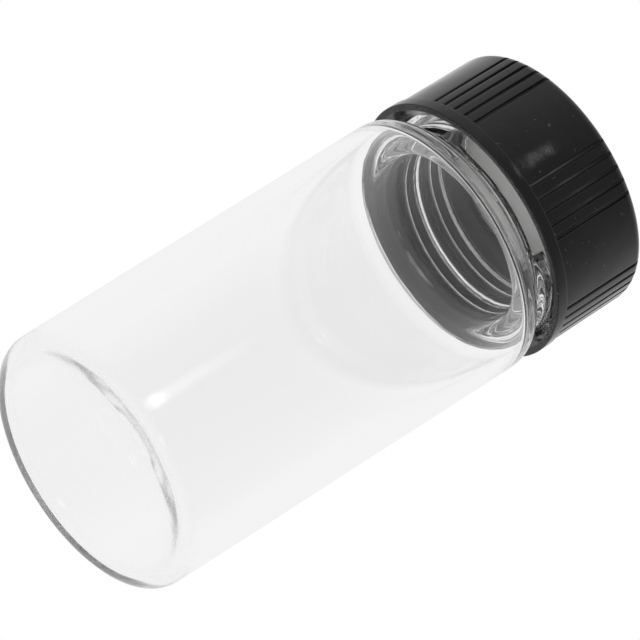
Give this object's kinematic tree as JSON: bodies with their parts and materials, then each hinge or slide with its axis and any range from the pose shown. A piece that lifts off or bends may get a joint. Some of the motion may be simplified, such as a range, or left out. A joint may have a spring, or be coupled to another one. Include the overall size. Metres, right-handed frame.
{
  "type": "specimen jar",
  "caption": "Clear glass screw-neck specimen jar with a rounded shoulder, shallow punt, ribbed black screw cap and white sealing liner.",
  "frame": {"origin": "centre of the foot, on the plane that the jar stands on", "axes": "+Z along the jar's axis from the foot to the cap; -Y faces the middle of one group of grip grooves"},
  "size_m": [0.0278, 0.0278, 0.0597],
  "materials": {
    "clear_glass": "clear, fire-polished",
    "cap_plastic": "black, semi-gloss moulded",
    "liner_rubber": "white, matt"
  },
  "bodies": {
    "vial": {"glass_vial": "clear_glass"},
    "liner": {"cap_liner": "liner_rubber"},
    "cap": {"screw_cap": "cap_plastic"}
  },
  "joints": [
    {"name": "cap_lift", "type": "slide", "parent": "vial", "child": "liner", "axis": [0, 0, 1], "range_m": [0, 0.01588]},
    {"name": "cap_turn", "type": "hinge", "parent": "liner", "child": "cap", "pos_m": [0, 0, 0.0584], "axis": [0, 0, 1], "range_deg": [0, 1800]}
  ],
  "couplings": [
    {"joint": "cap_lift", "follows": "cap_turn", "m_per_rad": 0.00050531}
  ]
}
